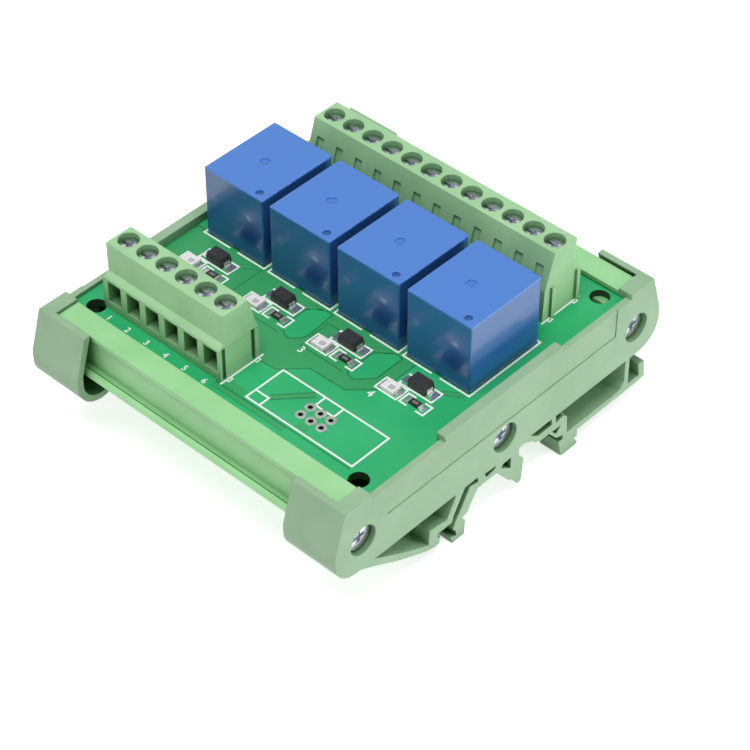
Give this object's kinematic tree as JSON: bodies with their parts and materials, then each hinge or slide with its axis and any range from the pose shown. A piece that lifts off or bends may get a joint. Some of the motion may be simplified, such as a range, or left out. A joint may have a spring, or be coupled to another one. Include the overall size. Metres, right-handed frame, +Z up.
{
  "type": "relay module board",
  "caption": "Circuit board with sealed relays, screw terminal blocks and indicator lamps, held in a plastic carrier whose feet clip onto a mounting rail.",
  "frame": {"origin": "under the middle of the board, on the plane through the bottom of the rail feet", "axes": "+X along the row of relays, +Y from the short terminal block to the long one, +Z up"},
  "size_m": [0.0786, 0.0902, 0.0428],
  "materials": {
    "profile_plastic": "satin",
    "side_plastic": "fine matte",
    "plated_screw": "bright plated",
    "circuit_board": "gloss lacquer",
    "relay_case": "gloss",
    "tinned_metal": "tinned",
    "diode_case": "matte",
    "indicator_case": "matte",
    "indicator_lens": "clear resin",
    "resistor_body": "glazed",
    "terminal_plastic": "satin",
    "plated_cage": "nickel plated"
  },
  "bodies": {
    "root": {"carrier_profile": "profile_plastic", "side_element_right": "side_plastic", "side_element_left": "side_plastic", "carrier_screws_right": "plated_screw", "carrier_screws_left": "plated_screw", "front_terminal_screws": "plated_screw", "rear_terminal_screws": "plated_screw", "circuit_board": "circuit_board", "relay_1": "relay_case", "relay_2": "relay_case", "relay_3": "relay_case", "relay_4": "relay_case", "relay_pins": "tinned_metal", "diode_leads": "tinned_metal", "indicator_leads": "tinned_metal", "resistor_end_caps": "tinned_metal", "front_terminal_blades": "tinned_metal", "rear_terminal_blades": "tinned_metal", "solder_joints": "tinned_metal", "diode_1": "diode_case", "diode_2": "diode_case", "diode_3": "diode_case", "diode_4": "diode_case", "indicator_1": "indicator_case", "indicator_2": "indicator_case", "indicator_3": "indicator_case", "indicator_4": "indicator_case", "indicator_lenses": "indicator_lens", "resistor_1": "resistor_body", "resistor_2": "resistor_body", "resistor_3": "resistor_body", "resistor_4": "resistor_body", "front_terminal_housing": "terminal_plastic", "rear_terminal_housing": "terminal_plastic", "front_terminal_cages": "plated_cage", "rear_terminal_cages": "plated_cage"}
  },
  "joints": []
}
